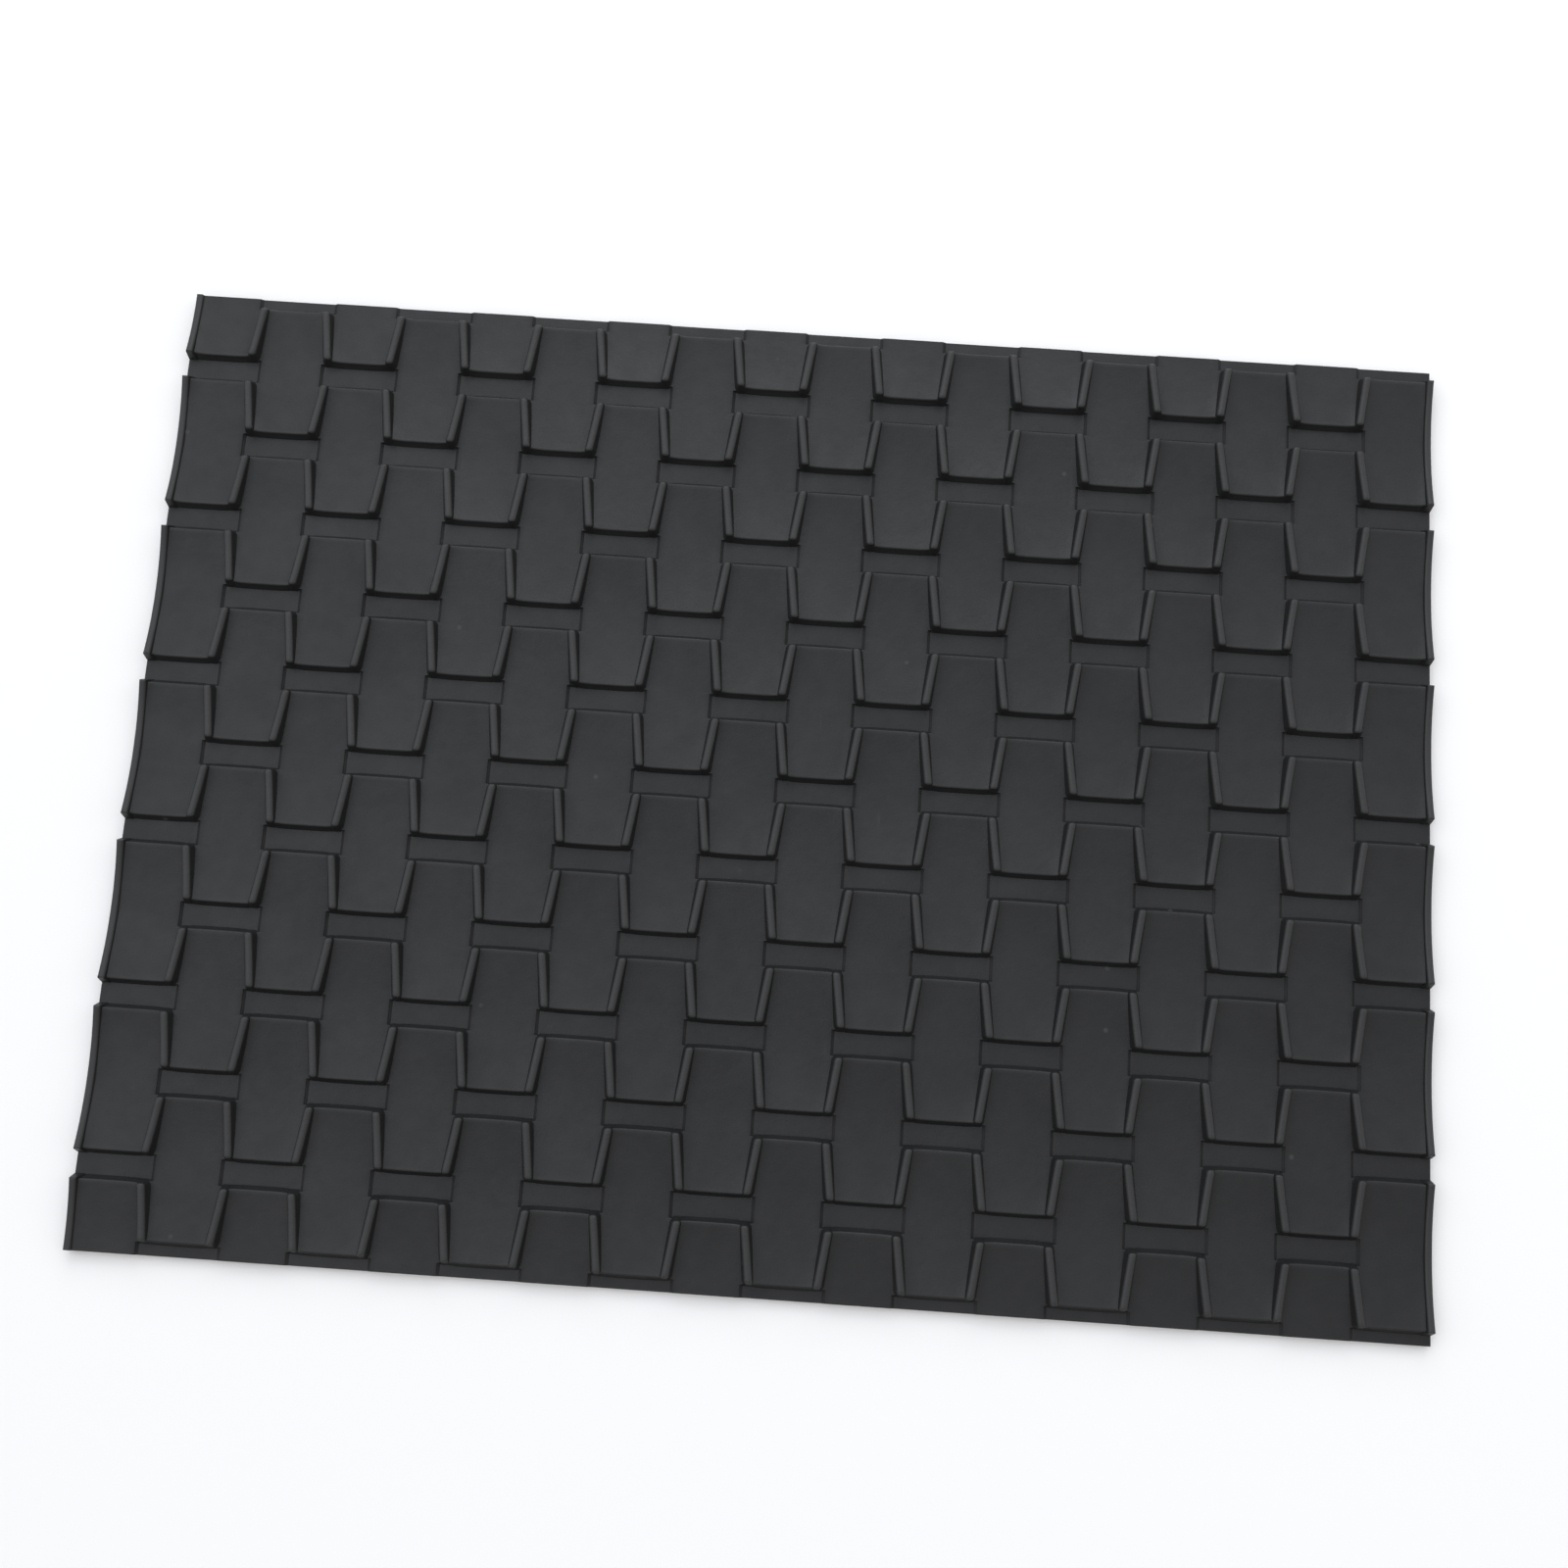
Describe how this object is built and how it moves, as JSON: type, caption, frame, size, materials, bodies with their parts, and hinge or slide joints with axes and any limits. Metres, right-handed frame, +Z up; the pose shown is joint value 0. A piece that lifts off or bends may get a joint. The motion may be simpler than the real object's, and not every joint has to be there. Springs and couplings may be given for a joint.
{
  "type": "tire traction mat",
  "caption": "Rectangular moulded rubber traction mat with a basket-weave relief of upturned lugs, slanted seam ribs and side lips on a flat web.",
  "frame": {"origin": "middle of the mat's footprint, on the surface that it lies on", "axes": "+X across the mat along its long side, +Y along its short side away from the viewer, +Z up out of the relief"},
  "size_m": [0.45, 0.339, 0.0079],
  "materials": {
    "web_rubber": "matt moulded, fine grain",
    "lug_rubber": "matt moulded, fine grain with light scuffs",
    "rib_rubber": "satin, rubbed smooth on top",
    "lip_rubber": "satin, rubbed smooth on top"
  },
  "bodies": {
    "root": {"lug_column_01": "lug_rubber", "lug_column_02": "lug_rubber", "lug_column_03": "lug_rubber", "lug_column_04": "lug_rubber", "lug_column_05": "lug_rubber", "lug_column_06": "lug_rubber", "lug_column_07": "lug_rubber", "lug_column_08": "lug_rubber", "lug_column_09": "lug_rubber", "lug_column_10": "lug_rubber", "lug_column_11": "lug_rubber", "lug_column_12": "lug_rubber", "lug_column_13": "lug_rubber", "lug_column_14": "lug_rubber", "lug_column_15": "lug_rubber", "lug_column_16": "lug_rubber", "lug_column_17": "lug_rubber", "lug_column_18": "lug_rubber", "outer_lip_left": "lip_rubber", "outer_lip_right": "lip_rubber", "seam_rib_row_01": "rib_rubber", "seam_rib_row_02": "rib_rubber", "seam_rib_row_03": "rib_rubber", "seam_rib_row_04": "rib_rubber", "seam_rib_row_05": "rib_rubber", "seam_rib_row_06": "rib_rubber", "seam_rib_row_07": "rib_rubber", "seam_rib_row_08": "rib_rubber", "seam_rib_row_09": "rib_rubber", "seam_rib_row_10": "rib_rubber", "seam_rib_row_11": "rib_rubber", "seam_rib_row_12": "rib_rubber", "seam_rib_row_13": "rib_rubber", "seam_rib_row_14": "rib_rubber", "seam_rib_row_15": "rib_rubber", "seam_rib_row_16": "rib_rubber", "seam_rib_row_17": "rib_rubber", "web_sheet": "web_rubber"}
  },
  "joints": []
}
